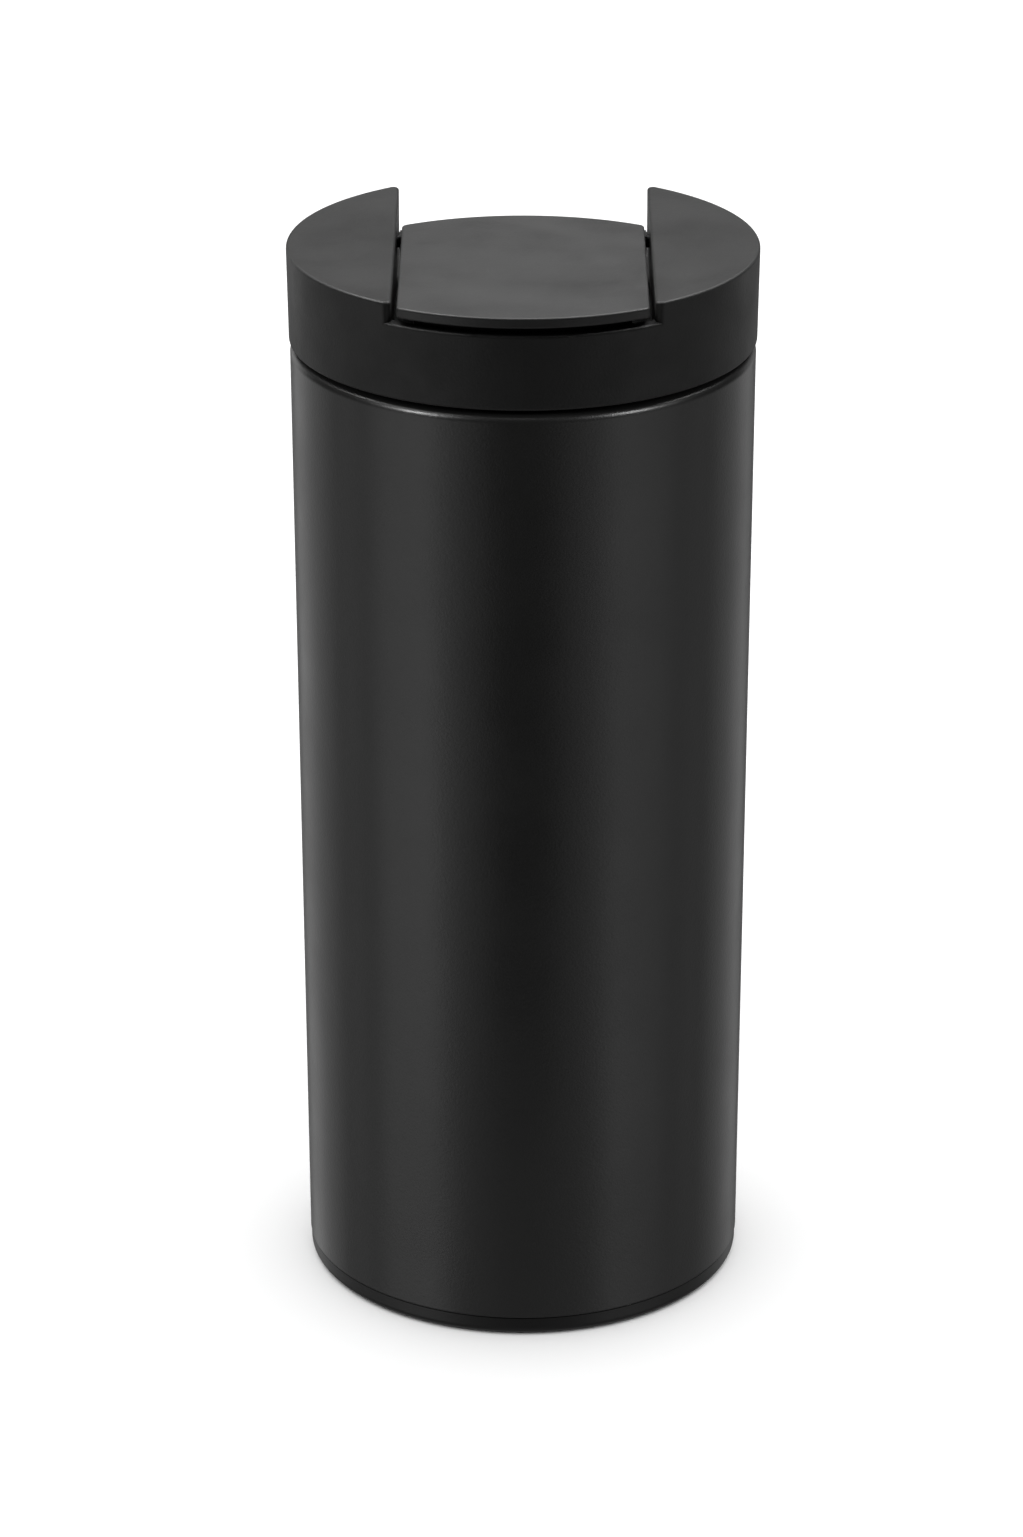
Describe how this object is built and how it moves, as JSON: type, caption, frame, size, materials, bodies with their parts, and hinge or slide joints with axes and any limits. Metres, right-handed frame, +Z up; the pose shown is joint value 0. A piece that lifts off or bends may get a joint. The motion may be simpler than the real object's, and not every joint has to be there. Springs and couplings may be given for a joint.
{
  "type": "insulated travel mug",
  "caption": "Slim double-walled travel mug with a screw lid, a slot across the lid and a flip tab over the drinking hole.",
  "frame": {"origin": "middle of the base, on the surface that the mug stands on", "axes": "+Z up along the mug's own axis, -Y towards the drinking side, +X to the right seen from the drinking side"},
  "size_m": [0.073, 0.0728, 0.1715],
  "materials": {
    "black_coat": "satin",
    "steel": "satin",
    "foil": "polished",
    "steel_dark": "satin",
    "glass_solder": "matte",
    "steel_bracket": "satin",
    "getter_grey": "matte",
    "base_coat": "satin",
    "pad_rubber": "matte",
    "adhesive": "matte",
    "silicone": "matte",
    "lid_black": "satin",
    "plug_grey": "satin",
    "plug_bottom_grey": "satin",
    "foam": "matte",
    "pin_steel": "polished",
    "tab_black": "satin",
    "carrier_black": "satin",
    "stopper_silicone": "matte",
    "vent_silicone": "matte"
  },
  "bodies": {
    "mug": {"outer_shell": "black_coat", "inner_liner": "steel", "radiation_foil": "foil", "outer_bottom": "steel_dark", "vacuum_seal": "glass_solder", "getter_bracket": "steel_bracket", "getter": "getter_grey", "base_cap": "base_coat", "base_pad": "pad_rubber", "pad_adhesive": "adhesive"},
    "seal": {"lid_seal": "silicone"},
    "lid": {"lid_cover": "lid_black", "lid_plug": "plug_grey", "plug_bottom": "plug_bottom_grey", "lid_insulation": "foam", "hinge_pin": "pin_steel"},
    "tab": {"flip_tab": "tab_black", "tab_carrier": "carrier_black", "sip_stopper": "stopper_silicone", "vent_seal": "vent_silicone"}
  },
  "joints": [
    {"name": "lid_lift", "type": "slide", "parent": "mug", "child": "seal", "axis": [0, 0, 1], "range_m": [0, 0.0161]},
    {"name": "lid_turn", "type": "hinge", "parent": "seal", "child": "lid", "pos_m": [0, 0, 0.1576], "axis": [0, 0, 1], "range_deg": [0, 720]},
    {"name": "tab_flip", "type": "hinge", "parent": "lid", "child": "tab", "pos_m": [0, 0.0115, 0.1681], "axis": [-1, 0, 0], "range_deg": [0, 175]}
  ],
  "couplings": [
    {"joint": "lid_lift", "follows": "lid_turn", "m_per_rad": 0.0012732}
  ]
}
